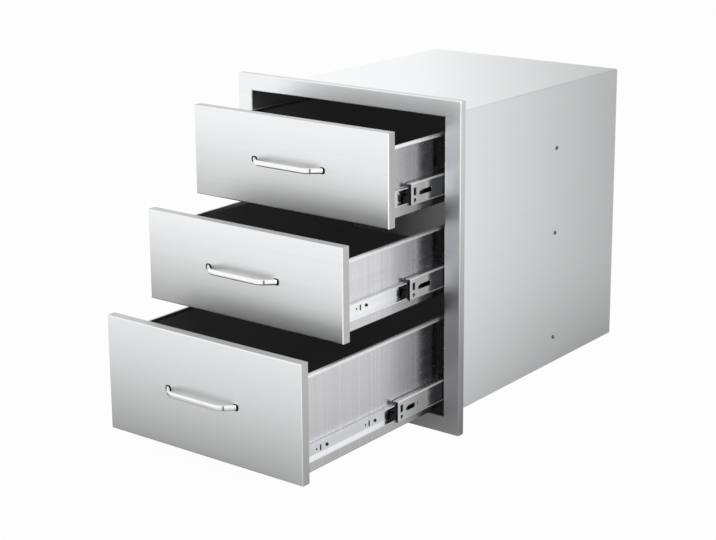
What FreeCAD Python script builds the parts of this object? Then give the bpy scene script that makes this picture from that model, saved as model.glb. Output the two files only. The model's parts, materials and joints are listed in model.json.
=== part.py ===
import FreeCAD, Part
import Sketcher
import os

# Built-in stainless steel unit with three drawers on ball-bearing slides.
# X runs to the right of someone who faces the fronts, Y runs back into the cabinet, Z is up.
# The origin is the middle of the cabinet's underside, in the plane where the face frame
# seats against the counter's front. The drawers stand part open, as far as their pulls say.

os.makedirs("parts", exist_ok=True)
document = FreeCAD.newDocument("drawer_unit")
sheet = document.addObject("Spreadsheet::Sheet", "Sizes")

# Driving sizes in millimetres
sizes = {
    # Opening and face frame
    "opening_width": 397,
    "opening_height": 494,
    "stile_width": 30,
    "frame_rail_height": 28,
    "frame_depth": 13,
    "frame_sheet": 1.0,
    "frame_hem": 8,
    "frame_return": 12,
    "frame_corner_round": 2,
    "frame_bend": 1.6,
    # Cabinet box behind the frame
    "box_sheet": 1.0,
    "box_depth": 527,
    "box_bend": 2.5,
    "floor_flange": 12,
    "back_flange": 8,
    "weld_gap": 1,
    # Drawer fronts
    "side_gap": 2,
    "end_gap": 2,
    "between_gap": 3,
    "top_front_height": 148,
    "middle_front_height": 148,
    "front_depth": 16,
    "front_sheet": 1.0,
    "front_bend": 2,
    "liner_flange": 10,
    # Drawer tubs
    "tub_sheet": 1.0,
    "tub_lift": 9.5,
    "rim_drop": 27,
    "rim_width": 7,
    "rim_lip": 6,
    "rim_bend": 4.5,
    "tub_bend": 1.8,
    "tub_flange": 12,
    # Handles
    "handle_width": 146,
    "handle_reach": 21,
    "handle_bar": 5,
    "handle_height": 9,
    "handle_bend": 26,
    "handle_edge": 0.9,
    # Three-section slides
    "slide_space": 12.7,
    "slide_length": 508,
    "slide_setback": 2,
    "slide_lift": 33,
    "rail_sheet": 1.2,
    "rail_lip": 2,
    "rail_bend": 1.5,
    "middle_rail_bend": 3,
    "cabinet_rail_height": 45.7,
    "cabinet_rail_depth": 9.2,
    "middle_rail_height": 35.5,
    "middle_rail_depth": 8.8,
    "middle_rail_setback": 22,
    "drawer_rail_height": 25.3,
    "drawer_rail_length": 500,
    # Holes and slots in the rails
    "group_place": 26,
    "group_pitch": 118,
    "small_hole": 3.5,
    "slot_place": 9,
    "slot_width": 3.2,
    "slot_height": 9,
    "screw_place": 24,
    "front_hole_place": 10,
    "front_hole": 7,
    "front_hole_drop": 10,
    "front_slot_rise": 4,
    "front_slot_width": 7,
    "front_slot_height": 12,
    "window_place": 21.5,
    "window_length": 33,
    "window_height": 7.8,
    "window_slant": 6,
    "rear_screw_place": 317,
    # Black stops in the front ends of the middle rails
    "stop_bar": 2,
    "stop_height": 33,
    "stop_sheet": 2,
    "stop_play": 0.5,
    "stop_reach": 12,
    "stop_seat": 14,
    "block_height": 21,
    "block_corner": 3,
    "notch_depth": 4,
    "notch_low": 1,
    "notch_high": 5.5,
    "arm_length": 2,
    "bumper_length": 18,
    "bumper_height": 28,
    "bumper_sheet": 2.6,
    "bumper_play": 0.3,
    # Ball cages
    "cage_sheet": 0.6,
    "cage_play": 0.25,
    "cage_length": 178,
    "ball_play": 0.3,
    "ball_pitch": 75,
    "pocket_size": 4,
    # Screws and bolts
    "screw_head": 7,
    "screw_head_height": 1.8,
    "bolt_head": 8,
    "bolt_head_height": 3.2,
    # How far the drawers and their middle rails stand out
    "top_pull": 144,
    "top_middle_pull": 127,
    "middle_pull": 257,
    "middle_middle_pull": 130,
    "bottom_pull": 355,
    "bottom_middle_pull": 162,
}
for row, (alias, size) in enumerate(sizes.items(), start=1):
    sheet.set("A%d" % row, str(size))
    sheet.setAlias("A%d" % row, alias)
document.recompute()


def bind(formula):
    """Spell a formula of sheet names the way another object's expression needs it."""
    words = []
    for word in formula.replace("(", " ( ").replace(")", " ) ").split():
        words.append("Sizes." + word if word in sizes else word)
    return " ".join(words)


def value(formula):
    """Number that a formula of sheet names gives."""
    return float(sheet.evalExpression(formula))


# Planes and half widths that several pieces share
opening_half = "( opening_width / 2 )"
box_inner_half = "( opening_width / 2 + frame_sheet )"
box_outer_half = "( opening_width / 2 + frame_sheet + box_sheet )"
frame_half = "( opening_width / 2 + stile_width )"
front_half = "( opening_width / 2 - side_gap )"
tub_half = "( opening_width / 2 + frame_sheet - slide_space )"
opening_bottom = "( box_sheet + frame_sheet )"
opening_top = "( box_sheet + frame_sheet + opening_height )"
frame_bottom = "( box_sheet + frame_sheet - frame_rail_height )"
frame_top = "( box_sheet + frame_sheet + opening_height + frame_rail_height )"
box_height = "( 2 * box_sheet + 2 * frame_sheet + opening_height )"
frame_front = "( -1 * frame_depth )"
front_back = "( front_depth - frame_depth )"
slide_front = "( front_depth - frame_depth + slide_setback )"
tub_back = "( front_depth - frame_depth + slide_setback + drawer_rail_length + tub_sheet )"
middle_front = "( front_depth - frame_depth + slide_setback + middle_rail_setback )"
middle_length = "( slide_length - 2 * middle_rail_setback )"
bottom_front_height = (
    "( opening_height - 2 * end_gap - 2 * between_gap - middle_front_height - top_front_height )"
)

# Distances out from a drawer's side wall across the slide
cabinet_web = "( slide_space - rail_sheet )"
cabinet_lip = "( slide_space - cabinet_rail_depth )"
cage_room = "( cage_sheet + 2 * cage_play )"
middle_face = "( slide_space - rail_sheet - " + cage_room + " )"
middle_web = "( " + middle_face + " - rail_sheet )"
middle_lip = "( " + middle_face + " - middle_rail_depth )"
drawer_edge = "( " + middle_web + " - " + cage_room + " )"

# Each drawer: name, bottom and height of its front, its pull and its middle rails' pull
bottom_front_bottom = "( " + opening_bottom + " + end_gap )"
middle_front_bottom = "( " + bottom_front_bottom + " + " + bottom_front_height + " + between_gap )"
top_front_bottom = "( " + middle_front_bottom + " + middle_front_height + between_gap )"
drawers = [
    ("top", top_front_bottom, "top_front_height", "top_pull", "top_middle_pull"),
    ("middle", middle_front_bottom, "middle_front_height", "middle_pull", "middle_middle_pull"),
    ("bottom", bottom_front_bottom, bottom_front_height, "bottom_pull", "bottom_middle_pull"),
]
sides = [("left", -1), ("right", 1)]


def new_body(label, pull="0"):
    """Empty body that stands forward of its closed place by the pull."""
    body = document.addObject("PartDesign::Body", label)
    body.Label = label
    body.setExpression("Placement.Base.y", bind("-1 * ( " + pull + " )"))
    return body


def new_sketch(body, plane, level):
    """Sketch on an origin plane of the body, moved along X, Y or Z to the level."""
    sketch = body.newObject("Sketcher::SketchObject", body.Label + "_sketch")
    support = [feature for feature in body.Origin.OriginFeatures if feature.Role == plane][0]
    sketch.AttachmentSupport = (support, [""])
    sketch.MapMode = "FlatFace"
    way = "-1 * " if plane == "XZ_Plane" else "1 * "
    sketch.setExpression("AttachmentOffset.Base.z", bind(way + "( " + level + " )"))
    return sketch


def place_point(sketch, edge, end, across, along):
    """Tie a point of the sketch to two formulas, measured from the sketch's origin."""
    for kind, formula in (("DistanceX", across), ("DistanceY", along)):
        constraint = Sketcher.Constraint(kind, -1, 1, edge, end, value(formula))
        index = sketch.addConstraint(constraint)
        sketch.setExpression("Constraints[%d]" % index, bind(formula))


def draw_outline(sketch, corners):
    """Closed straight-sided outline through corners given as pairs of formulas."""
    first = sketch.GeometryCount
    points = [FreeCAD.Vector(value(across), value(along), 0) for across, along in corners]
    count = len(points)
    for index, start in enumerate(points):
        sketch.addGeometry(Part.LineSegment(start, points[(index + 1) % count]))
    for index in range(count):
        follower = first + (index + 1) % count
        sketch.addConstraint(Sketcher.Constraint("Coincident", first + index, 2, follower, 1))
    for index, (across, along) in enumerate(corners):
        place_point(sketch, first + index, 1, across, along)


def draw_box(sketch, low_across, high_across, low_along, high_along):
    """Upright rectangle between two formulas each way."""
    draw_outline(sketch, [
        (low_across, low_along),
        (high_across, low_along),
        (high_across, high_along),
        (low_across, high_along),
    ])


def draw_circle(sketch, across, along, diameter):
    """Circle with its centre and diameter given as formulas."""
    centre = FreeCAD.Vector(value(across), value(along), 0)
    circle = Part.Circle(centre, FreeCAD.Vector(0, 0, 1), value(diameter) / 2)
    edge = sketch.addGeometry(circle)
    place_point(sketch, edge, 3, across, along)
    index = sketch.addConstraint(Sketcher.Constraint("Diameter", edge, value(diameter)))
    sketch.setExpression("Constraints[%d]" % index, bind(diameter))


def pad(body, sketch, plane, length):
    """Material from the sketch towards +X, +Y or +Z."""
    feature = body.newObject("PartDesign::Pad", body.Label + "_pad")
    feature.Profile = sketch
    feature.Reversed = plane == "XZ_Plane"
    feature.setExpression("Length", bind(length))
    sketch.Visibility = False
    return feature


def pocket(body, sketch, plane, length):
    """Cut from the sketch towards +X, +Y or +Z."""
    feature = body.newObject("PartDesign::Pocket", body.Label + "_pocket")
    feature.Profile = sketch
    feature.Reversed = plane != "XZ_Plane"
    feature.setExpression("Length", bind(length))
    sketch.Visibility = False
    return feature


def edges_between(base, chosen):
    """Names of the edges whose two ends the test accepts."""
    names = []
    for index, edge in enumerate(base.Shape.Edges, start=1):
        if len(edge.Vertexes) == 2 and chosen(edge.Vertexes[0].Point, edge.Vertexes[1].Point):
            names.append("Edge%d" % index)
    return names


def round_edges(body, chosen, radius):
    """Fillet on the body's edges that the test accepts."""
    document.recompute()
    base = body.Tip
    feature = body.newObject("PartDesign::Fillet", body.Label + "_round")
    feature.Base = (base, edges_between(base, chosen))
    feature.setExpression("Radius", bind(radius))


def bevel_edges(body, chosen, size):
    """Chamfer on the body's edges that the test accepts."""
    document.recompute()
    base = body.Tip
    feature = body.newObject("PartDesign::Chamfer", body.Label + "_bevel")
    feature.Base = (base, edges_between(base, chosen))
    feature.setExpression("Size", bind(size))


def near(first, second):
    """Whether two lengths agree to a hundredth of a millimetre."""
    return abs(first - second) < 0.01


def across(side, distance):
    """Formula of X at a distance out from a drawer's side wall."""
    return "( %d * ( %s + %s ) )" % (side, tub_half, distance)


def group(label, members, pull="0"):
    """One node of like solids that stand apart."""
    compound = document.addObject("Part::Compound", label)
    compound.Label = label
    compound.Links = members
    compound.setExpression("Placement.Base.y", bind("-1 * ( " + pull + " )"))
    return compound


# Face frame: one folded sheet, returned round its outside and round the opening
def make_face_frame():
    body = new_body("face_frame")
    plane = "XZ_Plane"

    def ring(level, depth, outer, inner):
        sketch = new_sketch(body, plane, level)
        for half, low, high in (outer, inner):
            draw_box(sketch, "-1 * " + half, half, low, high)
        pad(body, sketch, plane, depth)

    outside = (frame_half, frame_bottom, frame_top)
    opening = (opening_half, opening_bottom, opening_top)

    def grown(edge, amount):
        half, low, high = edge
        return ("( %s + %s )" % (half, amount), "%s - %s" % (low, amount),
                "%s + %s" % (high, amount))

    ring(frame_front, "frame_sheet", outside, opening)
    ring(frame_front, "frame_depth", outside, grown(outside, "( -1 * frame_sheet )"))
    ring("-1 * frame_sheet", "frame_sheet", outside, grown(outside, "( -1 * frame_hem )"))
    ring(frame_front, "frame_return", grown(opening, "frame_sheet"), opening)
    half = value(frame_half)
    front = value(frame_front)
    low = value(opening_bottom)
    high = value(opening_top)

    def at_corner(start, end):
        return near(abs(start.x), half) and near(abs(end.x), half) and near(start.x, end.x) and \
            near(start.z, end.z) and (start.z < low or start.z > high)

    round_edges(body, at_corner, "frame_corner_round")

    def on_front(start, end):
        return near(start.y, front) and near(end.y, front)

    round_edges(body, on_front, "frame_bend")


make_face_frame()


# Cabinet wrap: left side, top and right side folded from one sheet
def make_cabinet_wrap():
    body = new_body("cabinet_wrap")
    plane = "XZ_Plane"
    level = "( " + frame_front + " + frame_sheet )"
    sketch = new_sketch(body, plane, level)
    outer = box_outer_half
    inner = box_inner_half
    under_top = "( " + box_height + " - box_sheet )"
    draw_outline(sketch, [
        ("-1 * " + outer, "0"),
        ("-1 * " + inner, "0"),
        ("-1 * " + inner, under_top),
        (inner, under_top),
        (inner, "0"),
        (outer, "0"),
        (outer, box_height),
        ("-1 * " + outer, box_height),
    ])
    pad(body, sketch, plane, "box_depth - " + level)
    top = value(box_height)

    def top_bend(start, end):
        return near(start.z, top) and near(end.z, top) and near(start.x, end.x)

    round_edges(body, top_bend, "box_bend")


make_cabinet_wrap()


# Cabinet floor: flat sheet with its sides folded up against the wrap
def make_cabinet_floor():
    body = new_body("cabinet_floor")
    plane = "XZ_Plane"
    front = "( " + frame_front + " + frame_sheet )"
    sheet_sketch = new_sketch(body, plane, front)
    draw_box(sheet_sketch, "-1 * " + box_inner_half, box_inner_half, "0", "box_sheet")
    pad(body, sheet_sketch, plane, "box_depth - box_sheet - " + front)
    inside = "( " + box_inner_half + " - box_sheet )"
    flanges = new_sketch(body, plane, "0")
    for side in ("-1 * ", ""):
        draw_box(flanges, side + inside, side + box_inner_half, "box_sheet / 2", "floor_flange")
    pad(body, flanges, plane, "box_depth - box_sheet - back_flange - weld_gap")


make_cabinet_floor()


# Cabinet back: shallow pan that closes the wrap
def make_cabinet_back():
    body = new_body("cabinet_back")
    plane = "XZ_Plane"
    top = "( " + box_height + " - box_sheet )"
    plate = new_sketch(body, plane, "box_depth - box_sheet")
    draw_box(plate, "-1 * " + box_inner_half, box_inner_half, "0", top)
    pad(body, plate, plane, "box_sheet")
    rim = new_sketch(body, plane, "box_depth - box_sheet - back_flange")
    inside = "( " + box_inner_half + " - box_sheet )"
    draw_box(rim, "-1 * " + box_inner_half, box_inner_half, "box_sheet", top)
    draw_box(rim, "-1 * " + inside, inside, "2 * box_sheet", top + " - box_sheet")
    pad(body, rim, plane, "back_flange + box_sheet / 2")


make_cabinet_back()


# Cabinet rails: the outer C of each slide, with its web against the cabinet's side
def make_cabinet_rail(name, side_name, side, height_at):
    body = new_body(name + "_" + side_name + "_cabinet_rail")
    plane = "XZ_Plane"
    sketch = new_sketch(body, plane, slide_front)
    top = "cabinet_rail_height / 2"
    under = "( cabinet_rail_height / 2 - rail_sheet )"
    corners = []
    for distance, rise in (
        ("slide_space", top),
        (cabinet_lip, top),
        (cabinet_lip, under + " - rail_lip"),
        ("( " + cabinet_lip + " + rail_sheet )", under + " - rail_lip"),
        ("( " + cabinet_lip + " + rail_sheet )", under),
        (cabinet_web, under),
    ):
        corners.append((across(side, distance), rise))
    draw_channel(sketch, corners, height_at)
    pad(body, sketch, plane, "slide_length")
    bend_folds(body, side, "slide_space", "cabinet_rail_height / 2", height_at, "rail_bend / 2",
               bevel_edges)


def draw_channel(sketch, corners, height_at):
    """C section from the corners of its upper half, mirrored about the slide's height."""
    upper = [(x, "( %s + %s )" % (height_at, rise)) for x, rise in corners]
    lower = [(x, "( %s - ( %s ) )" % (height_at, rise)) for x, rise in reversed(corners)]
    draw_outline(sketch, upper + lower)


def low_side(side, near_wall, far_wall):
    """Formula of the lesser X of two distances out from a drawer's side wall."""
    return across(side, near_wall if side > 0 else far_wall)


def bend_folds(body, side, distance, rise, height_at, size, soften=round_edges):
    """Soften the two long edges that lie as far above and below the slide's height."""
    fold_x = value(across(side, distance))
    centre = value(height_at)
    half = value(rise)

    def at_fold(start, end):
        return near(start.x, fold_x) and near(end.x, fold_x) and near(start.z, end.z) and \
            near(abs(start.z - centre), half)

    soften(body, at_fold, size)


# Middle rails: a smaller C that runs inside the cabinet rail, with its web outwards
def make_middle_rail(name, side_name, side, height_at, pull):
    body = new_body(name + "_" + side_name + "_middle_rail", pull)
    plane = "XZ_Plane"
    sketch = new_sketch(body, plane, middle_front)
    top = "middle_rail_height / 2"
    under = "( middle_rail_height / 2 - rail_sheet )"
    corners = []
    for distance, rise in (
        (middle_face, top),
        (middle_lip, top),
        (middle_lip, under + " - rail_lip"),
        ("( " + middle_lip + " + rail_sheet )", under + " - rail_lip"),
        ("( " + middle_lip + " + rail_sheet )", under),
        (middle_web, under),
    ):
        corners.append((across(side, distance), rise))
    draw_channel(sketch, corners, height_at)
    pad(body, sketch, plane, middle_length)
    holes = new_sketch(body, "YZ_Plane", low_side(side, middle_web, middle_face))
    hole_at = middle_front + " + front_hole_place"
    draw_circle(holes, hole_at, height_at + " - front_hole_drop", "front_hole")
    slot_middle = height_at + " + front_slot_rise"
    draw_box(holes, hole_at + " - front_slot_width / 2", hole_at + " + front_slot_width / 2",
             slot_middle + " - front_slot_height / 2", slot_middle + " + front_slot_height / 2")
    start = middle_front + " + window_place"
    low = height_at + " - window_height / 2"
    high = height_at + " + window_height / 2"
    draw_outline(holes, [
        (start, low + " + window_height / 6"),
        (start + " + window_slant / 2", low),
        (start + " + window_length", low),
        (start + " + window_length", high),
        (start + " + window_slant", high),
        (start, high + " - window_height / 3"),
    ])
    pocket(body, holes, "YZ_Plane", "rail_sheet")
    bend_folds(body, side, middle_face, "middle_rail_height / 2", height_at, "middle_rail_bend")
    bend_folds(body, side, middle_web, "( middle_rail_height / 2 - rail_sheet )", height_at,
               "middle_rail_bend - rail_sheet")


# Slots, round holes and screws along a drawer rail, counted in pitches of its hole groups
slot_groups = range(4)
hole_groups = range(2)
screw_groups = range(2)


# Drawer rails: the inner C, screwed to the tub's side with its open side outwards
def make_drawer_rail(name, side_name, side, height_at, pull):
    body = new_body(name + "_" + side_name + "_drawer_rail", pull)
    plane = "XZ_Plane"
    sketch = new_sketch(body, plane, slide_front)
    top = "drawer_rail_height / 2"
    under = "( drawer_rail_height / 2 - rail_sheet )"
    corners = []
    for distance, rise in (
        ("0", top),
        (drawer_edge, top),
        (drawer_edge, under),
        ("rail_sheet", under),
    ):
        corners.append((across(side, distance), rise))
    draw_channel(sketch, corners, height_at)
    pad(body, sketch, plane, "drawer_rail_length")
    holes = new_sketch(body, "YZ_Plane", low_side(side, "0", "rail_sheet"))
    for repeat in slot_groups:
        start = "( " + slide_front + " + group_place + %d * group_pitch )" % repeat
        if repeat in hole_groups:
            draw_circle(holes, start, height_at, "small_hole")
        draw_box(holes, start + " + slot_place - slot_width / 2",
                 start + " + slot_place + slot_width / 2",
                 height_at + " - slot_height / 2", height_at + " + slot_height / 2")
    pocket(body, holes, "YZ_Plane", "rail_sheet")
    bend_folds(body, side, "0", "drawer_rail_height / 2", height_at, "rail_bend")


# Stops: black plastic blocks that plug the front ends of the middle rails. Each fills its
# channel behind the web's two front holes, and its bar covers the channel's end
def make_rail_stops(name, height_at, pull):
    body = new_body(name + "_rail_stops", pull)
    plane = "YZ_Plane"
    clear_of_screws = "( rail_sheet + screw_head_height + stop_play )"
    front = "( " + middle_front + " - stop_bar )"
    tip = "( " + middle_front + " - stop_reach )"
    top = height_at + " + block_height / 2"
    low = height_at + " - block_height / 2"
    for side_name, side in sides:
        block = new_sketch(body, plane, low_side(side, clear_of_screws, middle_web))
        draw_outline(block, [
            (tip, low),
            (middle_front + " + stop_seat", low),
            (middle_front + " + stop_seat", top),
            (tip + " + block_corner", top),
            (tip + " - arm_length", top + " - block_corner"),
            (tip + " - arm_length", height_at + " + notch_high"),
            (tip + " + notch_depth", height_at + " + notch_high"),
            (tip + " + notch_depth", height_at + " + notch_low"),
            (tip, height_at + " + notch_low"),
        ])
        pad(body, block, plane, middle_web + " - " + clear_of_screws)
        bar = new_sketch(body, plane, low_side(side, "( " + middle_face + " - stop_sheet )",
                                               middle_face))
        draw_box(bar, front, middle_front, height_at + " - stop_height / 2",
                 height_at + " + stop_height / 2")
        pad(body, bar, plane, "stop_sheet")


# Places of the balls along a cage, counted in ball pitches from its middle
ball_steps = [-1, 0, 1]


# Ball cages: thin channels that ride between two rails with the balls in their windows
def make_cages(label, web_inner, lip_inner, rail_under, rail_over, height_at, pull):
    body = new_body(label, pull)
    plane = "XZ_Plane"
    centre = "( " + slide_front + " + slide_length / 2 )"
    start = "( " + centre + " - cage_length / 2 )"
    middle = "( ( " + rail_under + " + " + rail_over + " ) / 2 )"
    far = "( " + web_inner + " - cage_play )"
    sketch = new_sketch(body, plane, start)
    for side_name, side in sides:
        corners = []
        for distance, rise in (
            (far, middle + " + cage_sheet / 2"),
            ("( " + lip_inner + " + ball_play )", middle + " + cage_sheet / 2"),
            ("( " + lip_inner + " + ball_play )", middle + " - cage_sheet / 2"),
            ("( " + far + " - cage_sheet )", middle + " - cage_sheet / 2"),
        ):
            corners.append((across(side, distance), rise))
        draw_channel(sketch, corners, height_at)
    pad(body, sketch, plane, "cage_length")
    windows = new_sketch(body, "XY_Plane", height_at + " - " + middle + " - cage_sheet")
    ball_line = "( ( " + web_inner + " + " + lip_inner + " ) / 2 )"
    for side_name, side in sides:
        for step in ball_steps:
            line = across(side, ball_line)
            spot = "( " + centre + " + %d * ball_pitch )" % step
            draw_box(windows, line + " - pocket_size / 2", line + " + pocket_size / 2",
                     spot + " - pocket_size / 2", spot + " + pocket_size / 2")
    pocket(body, windows, "XY_Plane", "2 * " + middle + " + 2 * cage_sheet")


# Front pan: the visible face of a drawer, folded back all round
def make_front_pan(name, bottom, height, pull):
    body = new_body(name + "_front_pan", pull)
    plane = "XZ_Plane"
    top = "( " + bottom + " + " + height + " )"
    face = new_sketch(body, plane, frame_front)
    draw_box(face, "-1 * " + front_half, front_half, bottom, top)
    pad(body, face, plane, "front_sheet")
    returns = new_sketch(body, plane, frame_front)
    inside = "( " + front_half + " - front_sheet )"
    draw_box(returns, "-1 * " + front_half, front_half, bottom, top)
    draw_box(returns, "-1 * " + inside, inside, bottom + " + front_sheet", top + " - front_sheet")
    pad(body, returns, plane, "front_depth")
    front = value(frame_front)

    def on_face(start, end):
        return near(start.y, front) and near(end.y, front)

    round_edges(body, on_face, "front_bend")


# Front liner: inner pan that closes the back of the front
def make_front_liner(name, bottom, height, pull):
    body = new_body(name + "_front_liner", pull)
    plane = "XZ_Plane"
    side = "( " + front_half + " - front_sheet )"
    low = "( " + bottom + " + front_sheet )"
    high = "( " + bottom + " + " + height + " - front_sheet )"
    plate = new_sketch(body, plane, front_back + " - front_sheet")
    draw_box(plate, "-1 * " + side, side, low, high)
    pad(body, plate, plane, "front_sheet")
    flanges = new_sketch(body, plane, front_back + " - liner_flange")
    inside = "( " + side + " - front_sheet )"
    draw_box(flanges, "-1 * " + side, side, low, high)
    draw_box(flanges, "-1 * " + inside, inside, low + " + front_sheet", high + " - front_sheet")
    pad(body, flanges, plane, "liner_flange - front_sheet / 2")


# Tub: floor and both sides folded from one sheet, with a turned-in rim along each side
def make_tub(name, bottom, height, pull):
    body = new_body(name + "_tub", pull)
    plane = "XZ_Plane"
    low = "( " + bottom + " + tub_lift )"
    high = "( " + bottom + " + " + height + " - rim_drop )"
    sketch = new_sketch(body, plane, front_back)
    half_section = [
        (tub_half, low),
        (tub_half, high),
        ("( " + tub_half + " - rim_width )", high),
        ("( " + tub_half + " - rim_width )", high + " - rim_lip"),
        ("( " + tub_half + " - rim_width + tub_sheet )", high + " - rim_lip"),
        ("( " + tub_half + " - rim_width + tub_sheet )", high + " - tub_sheet"),
        ("( " + tub_half + " - tub_sheet )", high + " - tub_sheet"),
        ("( " + tub_half + " - tub_sheet )", low + " + tub_sheet"),
    ]
    mirrored = [("-1 * " + x, z) for x, z in reversed(half_section)]
    draw_outline(sketch, half_section + mirrored)
    pad(body, sketch, plane, "slide_setback + drawer_rail_length")
    flanges = new_sketch(body, plane, front_back)
    for side_name, side in sides:
        edge = "%d * ( %s - tub_sheet / 2 )" % (side, tub_half)
        inside = "%d * ( %s - tub_flange )" % (side, tub_half)
        draw_box(flanges, inside, edge, low + " + tub_sheet / 2", high + " - rim_lip - weld_gap")
    pad(body, flanges, plane, "tub_sheet")

    def bend_both(half, level, radius):
        half = value(half)
        level = value(level)

        def at_fold(start, end):
            return near(abs(start.x), half) and near(start.x, end.x) and \
                near(start.z, level) and near(end.z, level)

        round_edges(body, at_fold, radius)

    bend_both(tub_half, low, "tub_bend")
    bend_both(tub_half, high, "rim_bend")
    bend_both("( " + tub_half + " - tub_sheet )", high + " - tub_sheet", "rim_bend - tub_sheet")


# Tub back: end wall with its top folded forward between the rims
def make_tub_back(name, bottom, height, pull):
    body = new_body(name + "_tub_back", pull)
    plane = "XZ_Plane"
    low = "( " + bottom + " + tub_lift )"
    high = "( " + bottom + " + " + height + " - rim_drop )"
    wall = new_sketch(body, plane, tub_back + " - tub_sheet")
    draw_box(wall, "-1 * " + tub_half, tub_half, low, high)
    pad(body, wall, plane, "tub_sheet")
    inside = "( " + tub_half + " - rim_width - weld_gap )"
    rim = new_sketch(body, plane, tub_back + " - rim_width")
    draw_box(rim, "-1 * " + inside, inside, high + " - tub_sheet", high)
    pad(body, rim, plane, "rim_width - tub_sheet / 2")
    lip = new_sketch(body, plane, tub_back + " - rim_width")
    draw_box(lip, "-1 * " + inside, inside, high + " - rim_lip", high + " - tub_sheet / 2")
    pad(body, lip, plane, "tub_sheet")
    half = value(tub_half)
    top = value(high)

    def at_corner(start, end):
        return near(abs(start.x), half) and near(start.x, end.x) and near(start.z, top) and \
            near(end.z, top)

    round_edges(body, at_corner, "rim_bend")


# Handle: flat bar bent to a low bow, with both arms slanted at 45 degrees to the face
def make_handle(name, bottom, height, pull):
    body = new_body(name + "_handle", pull)
    plane = "XY_Plane"
    level = "( " + bottom + " + " + height + " / 2 - handle_height / 2 )"
    sketch = new_sketch(body, plane, level)
    tip = "( handle_width / 2 )"
    heel = "( handle_width / 2 - handle_bar * 2 ^ 0.5 )"
    bar_back = "( handle_reach - handle_bar )"
    half_outline = [
        (tip, frame_front),
        ("( " + tip + " - handle_reach )", frame_front + " - handle_reach"),
        ("( -1 * ( " + tip + " - handle_reach ) )", frame_front + " - handle_reach"),
        ("-1 * " + tip, frame_front),
        ("-1 * " + heel, frame_front),
        ("( -1 * ( " + heel + " - " + bar_back + " ) )", frame_front + " - " + bar_back),
        ("( " + heel + " - " + bar_back + " )", frame_front + " - " + bar_back),
        (heel, frame_front),
    ]
    draw_outline(sketch, half_outline)
    pad(body, sketch, plane, "handle_height")
    front = value(frame_front)
    outer = front - value("handle_reach")
    inner = front - value(bar_back)

    def outer_bend(start, end):
        return near(start.x, end.x) and near(start.y, end.y) and near(start.y, outer)

    def inner_bend(start, end):
        return near(start.x, end.x) and near(start.y, end.y) and near(start.y, inner)

    round_edges(body, outer_bend, "handle_bend")
    round_edges(body, inner_bend, "handle_bend - handle_bar")

    def long_edge(start, end):
        return near(start.z, end.z) and not (near(start.y, front) and near(end.y, front))

    bevel_edges(body, long_edge, "handle_edge")


# Centre of a handle's foot, from the middle of the front
foot_place = "( handle_width / 2 - handle_bar * 2 ^ 0.5 / 2 )"


# Screws and bolts: heads that seat on the sheet they hold
def make_screw_head(label, x, y, z):
    head = document.addObject("Part::Cylinder", label)
    head.setExpression("Radius", bind("screw_head / 2"))
    head.setExpression("Height", bind("screw_head_height"))
    head.Placement.Rotation = FreeCAD.Rotation(FreeCAD.Vector(0, 1, 0), 90)
    for letter, formula in (("x", x), ("y", y), ("z", z)):
        head.setExpression("Placement.Base." + letter, bind(formula))
    return head


def make_bolt_head(label, height, x, y, z, lies):
    """Hexagon head that stands out towards +X or +Y."""
    head = document.addObject("Part::Prism", label)
    head.Polygon = 6
    head.setExpression("Circumradius", bind("bolt_head / 2"))
    head.setExpression("Height", bind(height))
    turn = (FreeCAD.Vector(0, 1, 0), 90) if lies == "X" else (FreeCAD.Vector(1, 0, 0), -90)
    head.Placement.Rotation = FreeCAD.Rotation(*turn)
    for letter, formula in (("x", x), ("y", y), ("z", z)):
        head.setExpression("Placement.Base." + letter, bind(formula))
    return head


def make_rail_screws(name, height_at, pull):
    """Heads inside the drawer rails, two to a rail."""
    heads = []
    for side_name, side in sides:
        for repeat in screw_groups:
            place = slide_front + " + group_place + screw_place + %d * group_pitch" % repeat
            far = "rail_sheet" if side > 0 else "( rail_sheet + screw_head_height )"
            heads.append(make_screw_head(name + "_rail_screw", across(side, far), place, height_at))
    group(name + "_rail_screws", heads, pull)


def make_handle_screws(name, bottom, height, pull):
    """Hexagon heads on the back of the liner, behind the handle's feet."""
    heads = []
    for side_name, side in sides:
        heads.append(make_bolt_head(name + "_handle_bolt", "bolt_head_height",
                                    "%d * %s" % (side, foot_place), front_back,
                                    bottom + " + " + height + " / 2", "Y"))
    group(name + "_handle_screws", heads, pull)


def make_slide_screws():
    """Low hexagon heads on the outside of the cabinet, one for each cabinet rail."""
    heads = []
    for name, bottom, height, pull, middle_pull in drawers:
        for side_name, side in sides:
            start = box_outer_half
            if side < 0:
                start = "( -1 * %s - screw_head_height )" % box_outer_half
            heads.append(make_bolt_head("slide_screw", "screw_head_height", start,
                                        slide_front + " + rear_screw_place",
                                        bottom + " + tub_lift + slide_lift", "X"))
    group("slide_screws", heads)


def make_rear_bumpers():
    """Black blocks in the rear ends of the cabinet rails that the middle rails close against."""
    body = new_body("rear_bumpers")
    plane = "YZ_Plane"
    start = "( " + middle_front + " + " + middle_length + " + bumper_play )"
    for side_name, side in sides:
        near_wall = "( " + cabinet_web + " - bumper_sheet )"
        sketch = new_sketch(body, plane, low_side(side, near_wall, cabinet_web))
        for name, bottom, height, pull, middle_pull in drawers:
            height_at = bottom + " + tub_lift + slide_lift"
            draw_box(sketch, start, start + " + bumper_length",
                     height_at + " - bumper_height / 2", height_at + " + bumper_height / 2")
        pad(body, sketch, plane, "bumper_sheet")


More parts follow.
